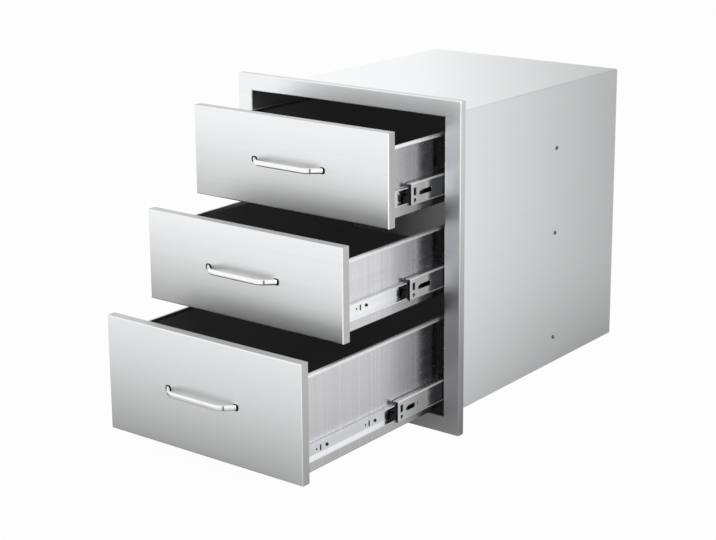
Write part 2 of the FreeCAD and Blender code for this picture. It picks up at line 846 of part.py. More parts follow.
for name, bottom, height, pull, middle_pull in drawers:
    height_at = "( " + bottom + " + tub_lift + slide_lift )"
    make_front_pan(name, bottom, height, pull)
    make_front_liner(name, bottom, height, pull)
    make_tub(name, bottom, height, pull)
    make_tub_back(name, bottom, height, pull)
    make_handle(name, bottom, height, pull)
    make_handle_screws(name, bottom, height, pull)
    make_rail_screws(name, height_at, pull)
    for side_name, side in sides:
        make_cabinet_rail(name, side_name, side, height_at)
        make_middle_rail(name, side_name, side, height_at, middle_pull)
        make_drawer_rail(name, side_name, side, height_at, pull)
    make_rail_stops(name, height_at, middle_pull)
    make_cages(name + "_outer_cages", cabinet_web, "( " + cabinet_lip + " + rail_sheet )",
               "( cabinet_rail_height / 2 - rail_sheet )", "( middle_rail_height / 2 )",
               height_at, middle_pull + " / 2")
    make_cages(name + "_inner_cages", middle_web, "( " + middle_lip + " + rail_sheet )",
               "( middle_rail_height / 2 - rail_sheet )", "( drawer_rail_height / 2 )",
               height_at, "( " + middle_pull + " + " + pull + " ) / 2")
make_slide_screws()
make_rear_bumpers()
document.recompute()

# Check every object, then write one file for each sub-part
for thing in document.Objects:
    if "Invalid" in thing.State or "Error" in thing.State:
        raise RuntimeError("object failed: " + thing.Label + " " + str(thing.State))
subparts = []
for thing in document.Objects:
    if thing.TypeId in ("PartDesign::Body", "Part::Compound"):
        subparts.append(thing)
        if thing.Shape.isNull() or not thing.Shape.isValid() or not thing.Shape.Solids:
            raise RuntimeError("bad shape: " + thing.Label)
for thing in subparts:
    thing.Shape.exportStep("parts/" + thing.Label + ".step")
print("sub-parts written:", len(subparts))
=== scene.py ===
import json
import math

import bpy
import numpy as np
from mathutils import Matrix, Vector

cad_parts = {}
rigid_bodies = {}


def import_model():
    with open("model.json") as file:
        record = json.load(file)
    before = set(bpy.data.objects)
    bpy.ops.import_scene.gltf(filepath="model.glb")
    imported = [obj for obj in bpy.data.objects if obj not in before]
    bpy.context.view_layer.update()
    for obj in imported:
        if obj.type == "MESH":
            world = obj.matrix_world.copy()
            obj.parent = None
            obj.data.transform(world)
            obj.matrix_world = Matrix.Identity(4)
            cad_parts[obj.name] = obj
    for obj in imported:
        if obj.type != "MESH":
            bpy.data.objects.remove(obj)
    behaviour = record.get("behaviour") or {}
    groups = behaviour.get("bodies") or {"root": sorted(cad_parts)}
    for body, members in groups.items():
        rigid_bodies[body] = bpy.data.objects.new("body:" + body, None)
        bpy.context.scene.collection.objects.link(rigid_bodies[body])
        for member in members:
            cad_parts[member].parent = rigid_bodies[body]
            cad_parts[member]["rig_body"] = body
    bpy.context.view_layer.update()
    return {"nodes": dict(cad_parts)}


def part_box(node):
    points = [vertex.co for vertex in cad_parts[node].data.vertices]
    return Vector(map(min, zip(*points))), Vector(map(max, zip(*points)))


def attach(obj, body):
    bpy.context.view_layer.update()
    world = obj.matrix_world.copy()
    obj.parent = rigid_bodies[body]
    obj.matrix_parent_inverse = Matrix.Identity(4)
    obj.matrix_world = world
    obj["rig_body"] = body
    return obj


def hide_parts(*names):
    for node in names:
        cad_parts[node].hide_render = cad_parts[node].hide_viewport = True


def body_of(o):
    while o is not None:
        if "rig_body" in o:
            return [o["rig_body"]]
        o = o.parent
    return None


for leftover in list(bpy.data.objects):
    bpy.data.objects.remove(leftover)
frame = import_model()
nodes = frame["nodes"]

# Camera: a long lens at the photograph's place, to the right of the unit and above it, with
# the small shift that keeps the unit's uprights as steep as in the photograph.
camera = bpy.data.objects.new("camera", bpy.data.cameras.new("camera"))
camera.data.lens = 84.27
camera.data.sensor_width = 36
camera.data.shift_x = -0.0419
camera.data.shift_y = -0.1047
camera.location = (1.6542, -2.1097, 1.0018)
camera.rotation_euler = [math.radians(a) for a in (76.129, 0.167, 36.718)]
bpy.context.scene.collection.objects.link(camera)
bpy.context.scene.camera = camera
bpy.context.scene.view_settings.view_transform = "Standard"


# Room: a white studio that lights the unit evenly and is plain white to the camera. The steel
# mirrors it bright, with a dark gap some twelve degrees wide where the camera stands.
def add_node(tree, kind, inputs=None, **settings):
    """Add a node with its settings; an input is a value or a socket that is linked to it."""
    node = tree.nodes.new(kind)
    for name, setting in settings.items():
        setattr(node, name, setting)
    for name, given in (inputs or {}).items():
        if isinstance(given, bpy.types.NodeSocket):
            tree.links.new(given, node.inputs[name])
        else:
            node.inputs[name].default_value = given
    return node


def clear_tree(owner):
    """Node tree of a world or a material, emptied."""
    owner.use_nodes = True
    owner.node_tree.nodes.clear()
    return owner.node_tree


def gap_in_room(tree, light, towards, half_width, depth):
    """The light, less by the depth within so many degrees of a direction on the floor plan.

    The gap's edge is soft, from 0.8 to 1.2 of its half width.
    """
    turn, on_the_plan = math.radians(towards), (1, 1, 0)
    way = add_node(tree, "ShaderNodeTexCoord")
    level = add_node(tree, "ShaderNodeVectorMath", {0: way.outputs["Generated"], 1: on_the_plan},
                     operation="MULTIPLY")
    level = add_node(tree, "ShaderNodeVectorMath", {0: level.outputs[0]}, operation="NORMALIZE")
    along = add_node(tree, "ShaderNodeVectorMath", {
        0: level.outputs[0], 1: (math.sin(turn), -math.cos(turn), 0)}, operation="DOT_PRODUCT")
    kept = add_node(tree, "ShaderNodeMapRange", {
        "Value": along.outputs["Value"], "From Min": math.cos(math.radians(half_width * 1.2)),
        "From Max": math.cos(math.radians(half_width * 0.8)), "To Min": 1.0,
        "To Max": 1.0 - depth}, interpolation_type="SMOOTHSTEP")
    return add_node(tree, "ShaderNodeMath", {0: light, 1: kept.outputs[0]},
                    operation="MULTIPLY").outputs[0]


room_light, room_in_mirrors, pure_white = 0.6, 1.06, 1.0
camera_side, gap_half_width, gap_depth = 35.6, 6, 0.8
world = bpy.data.worlds.new("studio")
bpy.context.scene.world = world
tree = clear_tree(world)
rays = add_node(tree, "ShaderNodeLightPath")
clear = add_node(tree, "ShaderNodeMath", {0: rays.outputs["Is Camera Ray"],
                                          1: rays.outputs["Is Transmission Ray"]},
                 operation="MAXIMUM")
ambient = add_node(tree, "ShaderNodeBackground", {"Color": (1, 1, 1, 1), "Strength": room_light})
white = add_node(tree, "ShaderNodeBackground", {"Color": (1, 1, 1, 1), "Strength": pure_white})
mirrored = add_node(tree, "ShaderNodeBackground", {
    "Color": (1, 1, 1, 1),
    "Strength": gap_in_room(tree, room_in_mirrors, camera_side, gap_half_width, gap_depth)})
mix = add_node(tree, "ShaderNodeMixShader", {0: clear.outputs[0], 1: ambient.outputs[0],
                                             2: white.outputs[0]})
mix = add_node(tree, "ShaderNodeMixShader", {0: rays.outputs["Is Glossy Ray"], 1: mix.outputs[0],
                                             2: mirrored.outputs[0]})
add_node(tree, "ShaderNodeOutputWorld", {"Surface": mix.outputs[0]})


# Floor: white paper under the unit, which keeps its shadow. To mirrored rays it shows painted
# shade
# instead: nearly black close to the unit's left half and paler farther off, and from 0.7 m on it
# lets them through to the room.
def studio_card(name, corners, paint):
    """Flat card through four corners, kept out of the part as stage."""
    mesh = bpy.data.meshes.new(name)
    mesh.from_pydata(corners, [], [(0, 1, 2, 3)])
    mesh.materials.append(paint)
    card = bpy.data.objects.new(name, mesh)
    bpy.context.scene.collection.objects.link(card)
    return card


def new_paint(name):
    """New material and its empty node tree."""
    paint = bpy.data.materials.new(name)
    return paint, clear_tree(paint)


def distance_outside(tree, centre, half):
    """Distance from a rectangle: length of what |place - centre| has beyond the half sizes."""
    place = add_node(tree, "ShaderNodeTexCoord")
    moved = add_node(tree, "ShaderNodeVectorMath", {0: place.outputs["Object"], 1: centre},
                     operation="SUBTRACT")
    folded = add_node(tree, "ShaderNodeVectorMath", {0: moved.outputs[0]}, operation="ABSOLUTE")
    beyond = add_node(tree, "ShaderNodeVectorMath", {0: folded.outputs[0], 1: half},
                      operation="SUBTRACT")
    kept = add_node(tree, "ShaderNodeVectorMath", {0: beyond.outputs[0], 1: (0, 0, 0)},
                    operation="MAXIMUM")
    return add_node(tree, "ShaderNodeVectorMath", {0: kept.outputs[0]},
                    operation="LENGTH").outputs["Value"]


frame_low, frame_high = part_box("face_frame")
floor_z = frame_low.z - 0.0002
floor_reach = 9
shade_centre, shade_half = (-0.22, 0.07, floor_z), (0.3, 0.42, 1)
fade_reach, fade_power, shade_light, camera_share = 0.7, 0.45, 0.06, 0.97
white_paper, tree = new_paint("white paper floor")
rays = add_node(tree, "ShaderNodeLightPath")
fade = add_node(tree, "ShaderNodeMath", {0: distance_outside(tree, shade_centre, shade_half),
                                         1: fade_reach}, operation="DIVIDE")
fade = add_node(tree, "ShaderNodeMath", {0: fade.outputs[0], 1: fade_power}, operation="POWER",
                use_clamp=True)
shade = add_node(tree, "ShaderNodeEmission", {"Strength": shade_light})
through = add_node(tree, "ShaderNodeBsdfTransparent")
mirrored = add_node(tree, "ShaderNodeMixShader", {0: fade.outputs[0], 1: shade.outputs[0],
                                                  2: through.outputs[0]})
paper = add_node(tree, "ShaderNodeBsdfDiffuse", {"Color": (0.8, 0.8, 0.8, 1)})
ground = add_node(tree, "ShaderNodeMixShader", {0: rays.outputs["Is Glossy Ray"],
                                                1: paper.outputs[0], 2: mirrored.outputs[0]})
glow = add_node(tree, "ShaderNodeEmission", {"Strength": pure_white})
share = add_node(tree, "ShaderNodeMath", {0: rays.outputs["Is Camera Ray"], 1: camera_share},
                 operation="MULTIPLY")
mix = add_node(tree, "ShaderNodeMixShader", {0: share.outputs[0], 1: ground.outputs[0],
                                             2: glow.outputs[0]})
add_node(tree, "ShaderNodeOutputMaterial", {"Surface": mix.outputs[0]})
studio_card("studio_floor", [(x * floor_reach, y * floor_reach, floor_z)
                             for x, y in ((-1, -1), (1, -1), (1, 1), (-1, 1))], white_paper)


# Grey screen: stands behind the cabinet and out of sight, darkest behind the unit's right side.
# Steel that looks to the right mirrors it: the cabinet's side, the tubs' sides and the rails.
def mirror_card(name, across, up, y, paint):
    """Upright card that faces the front and that only mirrored rays see."""
    (left, right), (foot, top) = across, up
    card = studio_card(name, [(left, y, foot), (right, y, foot), (right, y, top), (left, y, top)],
                       paint)
    card.visible_camera = False
    card.visible_diffuse = False
    card.visible_shadow = False


darkest_x, dark_half, bright_from = 0.26, 0.12, 0.8
screen_dark, screen_bright = 0.42, 1.06
grey_screen, tree = new_paint("grey screen, brighter to both sides")
place = add_node(tree, "ShaderNodeTexCoord")
apart = add_node(tree, "ShaderNodeSeparateXYZ", {"Vector": place.outputs["Object"]})
away = add_node(tree, "ShaderNodeMath", {0: apart.outputs["X"], 1: darkest_x},
                operation="SUBTRACT")
away = add_node(tree, "ShaderNodeMath", {0: away.outputs[0]}, operation="ABSOLUTE")
level = add_node(tree, "ShaderNodeMapRange", {
    "Value": away.outputs[0], "From Min": dark_half, "From Max": bright_from,
    "To Min": screen_dark, "To Max": screen_bright})
glow = add_node(tree, "ShaderNodeEmission", {"Strength": level.outputs[0]})
add_node(tree, "ShaderNodeOutputMaterial", {"Surface": glow.outputs[0]})
mirror_card("grey_screen_behind_cabinet", (-1.0, 1.05), (-1.2, 1.3), 0.95, grey_screen)

# Grey flag: gauze that hangs in the plane of the frame's face, just beside it. The drawers' sides
# and rails mirror the frame dark, and past its edge the gauze lets that dark thin out over 9 cm.
gauze_inner, gauze_outer, gauze_fades_at = frame_high.x + 0.001, 0.33, 0.32
gauze_y = frame_low.y - 0.0005
gauze_cover, gauze_light = 0.6, 0.04
grey_gauze, tree = new_paint("grey gauze, thinner outwards")
place = add_node(tree, "ShaderNodeTexCoord")
apart = add_node(tree, "ShaderNodeSeparateXYZ", {"Vector": place.outputs["Object"]})
cover = add_node(tree, "ShaderNodeMapRange", {
    "Value": apart.outputs["X"], "From Min": gauze_inner, "From Max": gauze_fades_at,
    "To Min": gauze_cover, "To Max": 0.0}, interpolation_type="SMOOTHSTEP")
through = add_node(tree, "ShaderNodeBsdfTransparent")
glow = add_node(tree, "ShaderNodeEmission", {"Strength": gauze_light})
mix = add_node(tree, "ShaderNodeMixShader", {0: cover.outputs[0], 1: through.outputs[0],
                                             2: glow.outputs[0]})
add_node(tree, "ShaderNodeOutputMaterial", {"Surface": mix.outputs[0]})
mirror_card("grey_flag_beside_frame", (gauze_inner, gauze_outer), (-0.02, 0.52), gauze_y,
            grey_gauze)


# Lamps: a tall softbox to the right of the camera, and a square one above and behind the unit
# that lights its top.
def softbox(name, place, target, size, power):
    """Area lamp aimed from a place at a target; size in metres, power in watts."""
    lamp = bpy.data.lights.new(name, "AREA")
    lamp.shape = "RECTANGLE"
    lamp.size, lamp.size_y = size
    lamp.energy = power
    holder = bpy.data.objects.new(name, lamp)
    holder.location = place
    holder.rotation_euler = (Vector(target) - Vector(place)).to_track_quat("-Z", "Y").to_euler()
    bpy.context.scene.collection.objects.link(holder)


softbox("right softbox", (2.35, -0.86, 0.95), (0, -0.1, 0.25), (0.55, 1.8), 24)
softbox("upper softbox", (1.2, 1.2, 2.4), (0.1, 0, 0.2), (1.4, 1.4), 12)


# Cabinet: one sheet folded into both sides and the top, a floor with its edges folded up and a
# shallow back pan, all of 1 mm stainless steel and spot welded. Its near-black inside is painted
# shade.
def linear(colour):
    """Linear values of an sRGB colour written as a hex string."""
    shares = [int(colour[i:i + 2], 16) / 255 for i in (1, 3, 5)]
    return tuple(c / 12.92 if c < 0.04045 else ((c + 0.055) / 1.055) ** 2.4 for c in shares) + (1,)


def brushed(tree, colour, grain, roughness, spread, scratch=0.0008, depth=0.000012):
    """Shader of metal brushed along one axis, 0 for X, 1 for Y and 2 for Z.

    Scratches raise the surface, and bands nine scratches wide vary its gloss and its colour.
    Real scratches are about 0.1 mm wide, and are drawn 0.8 mm wide so that they show.
    """
    scratch_length, band, band_length = 0.25, scratch * 9, 0.6
    gloss_varies, darker_band = 0.03, 0.965
    place = add_node(tree, "ShaderNodeTexCoord")
    noises = []
    for width, length, detail in ((scratch, scratch_length, 2), (band, band_length, 3)):
        scale = [1 / length if axis == grain else 1 / width for axis in range(3)]
        stretch = add_node(tree, "ShaderNodeMapping", {"Vector": place.outputs["Object"],
                                                       "Scale": scale})
        noises.append(add_node(tree, "ShaderNodeTexNoise", {"Vector": stretch.outputs[0],
                                                            "Scale": 1, "Detail": detail}))
    fine, broad = noises
    rough = add_node(tree, "ShaderNodeMapRange", {
        "Value": broad.outputs["Fac"], "From Min": 0.3, "From Max": 0.7,
        "To Min": roughness - gloss_varies, "To Max": roughness + gloss_varies})
    bump = add_node(tree, "ShaderNodeBump", {"Height": fine.outputs["Fac"], "Strength": 0.3,
                                             "Distance": depth})
    deeper_tone = [darker_band * c for c in linear(colour)[:3]] + [1]
    tint = add_node(tree, "ShaderNodeMix", {"Factor": broad.outputs["Fac"],
                                            "A": linear(colour), "B": deeper_tone}, data_type="RGBA")
    across = add_node(tree, "ShaderNodeCombineXYZ", {2 if grain < 2 else 0: 1})
    metal = add_node(tree, "ShaderNodeBsdfPrincipled", {
        "Base Color": tint.outputs["Result"], "Metallic": 1, "Roughness": rough.outputs[0],
        "Anisotropic": spread, "Normal": bump.outputs[0], "Tangent": across.outputs[0]})
    return metal.outputs[0]


def brushed_metal(name, *finish):
    """Material of one brushed finish, as brushed takes it."""
    paint, tree = new_paint(name)
    add_node(tree, "ShaderNodeOutputMaterial", {"Surface": brushed(tree, *finish)})
    return paint


def dress(node, paint, *picks):
    """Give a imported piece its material, and others to the faces that a test picks first."""
    mesh = nodes[node].data
    mesh.materials.clear()
    for material in [paint] + [material for test, material in picks]:
        mesh.materials.append(material)
    for face in mesh.polygons:
        chosen = [index for index, (test, material) in enumerate(picks, 1)
                  if test(face.center, face.normal)]
        face.material_index = chosen[0] if chosen else 0


sheet = 0.001
x_axis, y_axis = 0, 1

# Brushed stainless steel: a pale satin with fine lines along its grain, which blurs what it
# mirrors into soft patches, and draws them out across the lines where the spread is not zero.
steel = "#F3F4F5"
sheet_x = brushed_metal("brushed stainless, grain across", steel, x_axis, 0.42, 0.0)
sheet_y = brushed_metal("brushed stainless, grain to the back", steel, y_axis, 0.36, 0.6)

# Painted shade inside the cabinet and the tubs: an even matt near-black with fine bumps of
# 1.5 mm and faint patches of 60 mm. Its slight glow stands in for the light of the photograph's
# studio.
bump_width, patch_width, inside_glow = 0.0015, 0.06, 0.009
inside_shade, tree = new_paint("painted shade, near-black inside")
place = add_node(tree, "ShaderNodeTexCoord")
fine_bumps = add_node(tree, "ShaderNodeTexNoise", {"Vector": place.outputs["Object"],
                                             "Scale": 1 / bump_width, "Detail": 2})
patches = add_node(tree, "ShaderNodeTexNoise", {"Vector": place.outputs["Object"],
                                                "Scale": 1 / patch_width, "Detail": 3})
tint = add_node(tree, "ShaderNodeMix", {"Factor": patches.outputs["Fac"],
                                        "A": linear("#343434"), "B": linear("#3E3E3E")},
                data_type="RGBA")
bump = add_node(tree, "ShaderNodeBump", {"Height": fine_bumps.outputs["Fac"], "Strength": 0.4,
                                         "Distance": 0.0001})
coat = add_node(tree, "ShaderNodeBsdfPrincipled", {
    "Base Color": tint.outputs["Result"], "Roughness": 0.85, "Specular IOR Level": 0.15,
    "Emission Color": (1, 1, 1, 1), "Emission Strength": inside_glow, "Normal": bump.outputs[0]})
add_node(tree, "ShaderNodeOutputMaterial", {"Surface": coat.outputs[0]})

wrap_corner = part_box("cabinet_wrap")[1]
back_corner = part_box("cabinet_back")[1]


def in_wrap(centre, normal):
    """Faces inside the wrap: its sides' inner faces and the top's underside."""
    inner_side = centre.x * normal.x < -0.1 and abs(centre.x) < wrap_corner.x - sheet / 2
    return inner_side or normal.z < -0.5 and centre.z < wrap_corner.z - sheet / 2


dress("cabinet_wrap", sheet_y, (in_wrap, inside_shade))
dress("cabinet_floor", sheet_y, (
    lambda centre, normal: normal.z > 0.5 or centre.z > 2 * sheet, inside_shade))
dress("cabinet_back", sheet_x, (
    lambda centre, normal: normal.y < -0.5 or centre.y < back_corner.y - 1.5 * sheet, inside_shade))


# Face frame: one stainless sheet cut out for the drawers, folded back round its outside and
# hemmed, and welded to the cabinet. It covers the edge of the counter's cut-out.
def painted_foot_shade(tree, bright, deeper_tone, heights, at_left=1.0, at_right=1.0):
    """Painted shade: a bright brushed finish that goes over to a darker copy of it, down from one
    height to another.

    Share of the darker one: how far down, from 0 to 1, to the power 1.4, times a factor that runs
    from the left's value to the right's over the middle 0.4 m.
    """
    half_width, bend = 0.2, 1.4
    place = add_node(tree, "ShaderNodeTexCoord")
    apart = add_node(tree, "ShaderNodeSeparateXYZ", {"Vector": place.outputs["Object"]})
    down = add_node(tree, "ShaderNodeMapRange", {
        "Value": apart.outputs["Z"], "From Min": heights[0], "From Max": heights[1],
        "To Min": 0.0, "To Max": 1.0})
    down = add_node(tree, "ShaderNodeMath", {0: down.outputs[0], 1: bend}, operation="POWER")
    aside = add_node(tree, "ShaderNodeMapRange", {
        "Value": apart.outputs["X"], "From Min": -half_width, "From Max": half_width,
        "To Min": at_left, "To Max": at_right})
    share = add_node(tree, "ShaderNodeMath", {0: down.outputs[0], 1: aside.outputs[0]},
                     operation="MULTIPLY")
    return add_node(tree, "ShaderNodeMixShader", {
        0: share.outputs[0], 1: brushed(tree, *bright), 2: brushed(tree, *deeper_tone)}).outputs[0]


def painted_foot_shade_metal(name, *finish):
    """Material of a finish with painted shade, as painted_foot_shade takes it."""
    paint, tree = new_paint(name)
    add_node(tree, "ShaderNodeOutputMaterial", {"Surface": painted_foot_shade(tree, *finish)})
    return paint


# Stainless steel brushed across in one pass, with painted shade: bright at the top and greyer
# towards the foot, as the photograph shows it. Mirrored rays find it nearly black up to the
# openings' top, which no real sheet does: a painted reflection that stands in for the unlit room
# that the photograph's drawer sides mirror.
face_shade_heights, edge_shade_heights = (0.42, 0.14), (0.46, 0.10)
unlit_share, unlit_top, lit_from = 0.96, 0.465, 0.48
frame_front, tree = new_paint("brushed stainless, face frame")
lit = painted_foot_shade(tree, (steel, x_axis, 0.39, 0.5), ("#A9A9AB", x_axis, 0.38, 0.4), face_shade_heights)
rays = add_node(tree, "ShaderNodeLightPath")
place = add_node(tree, "ShaderNodeTexCoord")
apart = add_node(tree, "ShaderNodeSeparateXYZ", {"Vector": place.outputs["Object"]})
beside = add_node(tree, "ShaderNodeMapRange", {
    "Value": apart.outputs["Z"], "From Min": unlit_top, "From Max": lit_from,
    "To Min": unlit_share, "To Max": 0.0})
share = add_node(tree, "ShaderNodeMath", {0: rays.outputs["Is Glossy Ray"],
                                          1: beside.outputs[0]}, operation="MULTIPLY")
mix = add_node(tree, "ShaderNodeMixShader", {
    0: share.outputs[0], 1: lit, 2: brushed(tree, "#2C2C2E", x_axis, 0.45, 0.0)})
add_node(tree, "ShaderNodeOutputMaterial", {"Surface": mix.outputs[0]})

# Frame's folded edges: painted shade, greyer and duller than the brushed face and greyer still
# towards the foot.
frame_edge = painted_foot_shade_metal("painted shade, frame's folded edges", ("#D6D6D5", y_axis, 0.40, 0.3),
                           ("#9C9C9E", y_axis, 0.40, 0.3), edge_shade_heights)


def on_frame_edge(centre, normal):
    """Faces of the frame's outer folds."""
    outermost = (abs(centre.x) > frame_high.x - sheet / 2 or
                 centre.z > frame_high.z - sheet / 2 or centre.z < frame_low.z + sheet / 2)
    return abs(normal.y) < 0.3 and outermost


dress("face_frame", frame_front, (on_frame_edge, frame_edge))

# Drawer fronts: a stainless pan 16 mm deep, brushed across and folded back all round, closed
# from behind by a liner that is spot welded into it. The folds are a greyer copy of the steel:
# painted shade.
drawers = ("top", "middle", "bottom")
folds = brushed_metal("painted shade, front's folded edges", "#C2C2C1", y_axis, 0.40, 0.3)

# Painted shade on each front, deepening towards its foot: how much there, at its left and at its
# right.
foot_shade_shares = {"top": (0.75, 0.3), "middle": (1.0, 0.15), "bottom": (0.45, 0.35)}
for name in drawers:
    low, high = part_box(name + "_front_pan")
    front = painted_foot_shade_metal("brushed stainless, " + name + " front", (steel, x_axis, 0.40, 0.0),
                          ("#B4B4B4", x_axis, 0.44, 0.0), (high.z, low.z), *foot_shade_shares[name])
    dress(name + "_front_pan", front, (lambda centre, normal: abs(normal.y) < 0.3, folds))
    dress(name + "_front_liner", sheet_x)

# Tubs: floor and both sides of a drawer from one stainless sheet, with rolled rims, and an end
# wall whose top is folded forward. The parts are spot welded, and their near-black inside is
# painted shade.

# Brushed stainless steel, smoother than the fronts: upright streaks 6 mm wide in two greys, and
# scratches to the back, drawn 1.2 mm wide and nearly flat so that its mirror images stay clear.
streak, streak_length, nearly_flat, wide_scratch = 0.006, 0.8, 0.000001, 0.0012
tub_side, tree = new_paint("brushed stainless, drawer sides")
place = add_node(tree, "ShaderNodeTexCoord")
stretch = add_node(tree, "ShaderNodeMapping", {"Vector": place.outputs["Object"],
                                               "Scale": (1, 1 / streak, 1 / streak_length)})
streaks = add_node(tree, "ShaderNodeTexNoise", {"Vector": stretch.outputs[0], "Scale": 1,
                                                "Detail": 3})
share = add_node(tree, "ShaderNodeMapRange", {"Value": streaks.outputs["Fac"], "From Min": 0.35,
                                              "From Max": 0.65})
mix = add_node(tree, "ShaderNodeMixShader", {
    0: share.outputs[0],
    1: brushed(tree, "#DEDEE1", y_axis, 0.25, 0.7, wide_scratch, nearly_flat),
    2: brushed(tree, "#D4D4D7", y_axis, 0.27, 0.7, wide_scratch, nearly_flat)})
add_node(tree, "ShaderNodeOutputMaterial", {"Surface": mix.outputs[0]})

# Rolled rim: the bend stretches the skin, so it is dull and light from every side.
rim = brushed_metal("brushed stainless, rolled rim", "#DDDEDF", y_axis, 0.6, 0.0)

# Painted light on the middle drawer's end wall: a matt grey in place of the near-black, with
# crystals of about 4 mm. It glows a little towards its right, painted light where the photograph
# shows light that falls in beside the slide.
crystal, wall_left, wall_right, wall_glow = 0.004, -0.10, 0.19, 0.3
painted_light_end_wall, tree = new_paint("grey end wall, painted light")
place = add_node(tree, "ShaderNodeTexCoord")
spangle = add_node(tree, "ShaderNodeTexNoise", {"Vector": place.outputs["Object"],
                                                "Scale": 1 / crystal, "Detail": 3})
tint = add_node(tree, "ShaderNodeMix", {"Factor": spangle.outputs["Fac"],
                                        "A": linear("#B9B9BB"), "B": linear("#D2D2D4")},
                data_type="RGBA")
apart = add_node(tree, "ShaderNodeSeparateXYZ", {"Vector": place.outputs["Object"]})
glint = add_node(tree, "ShaderNodeMapRange", {
    "Value": apart.outputs["X"], "From Min": wall_left, "From Max": wall_right, "To Min": 0.0,
    "To Max": wall_glow})
coat = add_node(tree, "ShaderNodeBsdfPrincipled", {
    "Base Color": tint.outputs["Result"], "Roughness": 0.6,
    "Emission Color": tint.outputs["Result"], "Emission Strength": glint.outputs[0]})
add_node(tree, "ShaderNodeOutputMaterial", {"Surface": coat.outputs[0]})

rim_height = 0.006
for name in drawers:
    low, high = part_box(name + "_tub")

    def in_tub(centre, normal, low=low, high=high):
        """Faces inside the tub: both walls, the floor and the rims' undersides."""
        wall = abs(centre.x) > high.x - 1.3 * sheet and centre.x * normal.x < -0.1
        floor = normal.z > 0.5 and centre.z < low.z + 2 * sheet
        return wall or floor or normal.z < -0.5 and centre.z > high.z - 1.5 * sheet

    def on_rim(centre, normal, high=high):
        """Faces on the upper side of the rims."""
        return normal.z > 0.12 and centre.z > high.z - rim_height

    dress(name + "_tub", tub_side, (in_tub, inside_shade), (on_rim, rim))
    # The middle drawer's end wall shows painted light in grey, the other end walls the near-black
    # painted shade.
    dress(name + "_tub_back", sheet_x, (
        lambda centre, normal: normal.y < -0.5, painted_light_end_wall if name == "middle" else inside_shade))

# Slides: three members of cold-rolled steel strip that run in one another on balls, screwed to
# the cabinet and to the tub. The cages are punched from thin strip. Stops and bumpers are moulded.
sides = ("left", "right")

# Zinc plating: brighter and smoother than the sheet, with faint rolling lines to the back. The
# slanted folds of the strip are as dull as the tubs' rims.
zinc = brushed_metal("bright zinc plated strip", "#F2F3F4", y_axis, 0.20, 0.5)

# Acetal: deep black with a dull sheen, broken by the mould's grain of 0.6 mm.
mould_grain, grain_depth = 0.0006, 0.00004
plastic, tree = new_paint("moulded black acetal")
place = add_node(tree, "ShaderNodeTexCoord")
grain = add_node(tree, "ShaderNodeTexNoise", {"Vector": place.outputs["Object"],
                                              "Scale": 1 / mould_grain, "Detail": 2})
bump = add_node(tree, "ShaderNodeBump", {"Height": grain.outputs["Fac"], "Strength": 0.3,
                                         "Distance": grain_depth})
rough = add_node(tree, "ShaderNodeMapRange", {"Value": grain.outputs["Fac"], "To Min": 0.5,
                                              "To Max": 0.65})
coat = add_node(tree, "ShaderNodeBsdfPrincipled", {
    "Base Color": linear("#070708"), "Roughness": rough.outputs[0], "Specular IOR Level": 0.2,
    "Normal": bump.outputs[0]})
add_node(tree, "ShaderNodeOutputMaterial", {"Surface": coat.outputs[0]})

dress("rear_bumpers", plastic)
for name in drawers:
    dress(name + "_rail_stops", plastic)
    dress(name + "_outer_cages", zinc)
    dress(name + "_inner_cages", zinc)
    for side in sides:
        for member in ("cabinet", "middle", "drawer"):
            dress("%s_%s_%s_rail" % (name, side, member), zinc,
                  (lambda centre, normal: 0.2 < abs(normal.z) < 0.98, rim))


# Handles: flat stainless bar, 9 x 5 mm with rounded edges, bent cold to a low bow and polished.
# Each foot stands on a thin black nylon seat and is bolted from inside the front.
def closed_rows(first, rows, last):
    """Closed surface through rows of points, each a ring, from a first point to a last one."""
    count, turns = rows.shape[:2]
    points = np.vstack([[first], rows.reshape(-1, 3), [last]])
    ring = np.arange(turns)
    after = (ring + 1) % turns
    step = 1 + turns * np.arange(count - 1)[:, None]
    walls = np.stack([step + ring, step + turns + ring, step + turns + after, step + after], -1)
    end = 1 + turns * (count - 1)
    caps = [np.stack([np.zeros_like(ring), 1 + ring, 1 + after], -1),
            np.stack([np.full_like(ring, len(points) - 1), end + after, end + ring], -1)]
    return points, [walls.reshape(-1, 4)] + caps


def add_piece(name, shells, paint, rides_with, replaced=()):
    """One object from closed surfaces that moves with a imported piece's body."""
    points, faces, count = [], [], 0
    for shell_points, blocks in shells:
        points.append(shell_points)
        faces += [face for block in blocks for face in (block + count).tolist()]
        count += len(shell_points)
    mesh = bpy.data.meshes.new(name)
    mesh.from_pydata(np.vstack(points).tolist(), [], faces)
    mesh.polygons.foreach_set("use_smooth", [True] * len(faces))
    mesh.materials.append(paint)
    piece = bpy.data.objects.new(name, mesh)
    bpy.context.scene.collection.objects.link(piece)
    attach(piece, body_of(nodes[rides_with])[0])
    if replaced:
        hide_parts(*replaced)


def superellipse(half, power, turns):
    """Ring |x/a|^p + |y/b|^p = 1, as x and y over the turn."""
    angle = np.arange(turns) * 2 * np.pi / turns
    c, s = np.cos(angle), np.sin(angle)
    return (half[0] * np.sign(c) * np.abs(c) ** (2 / power),
            half[1] * np.sign(s) * np.abs(s) ** (2 / power))


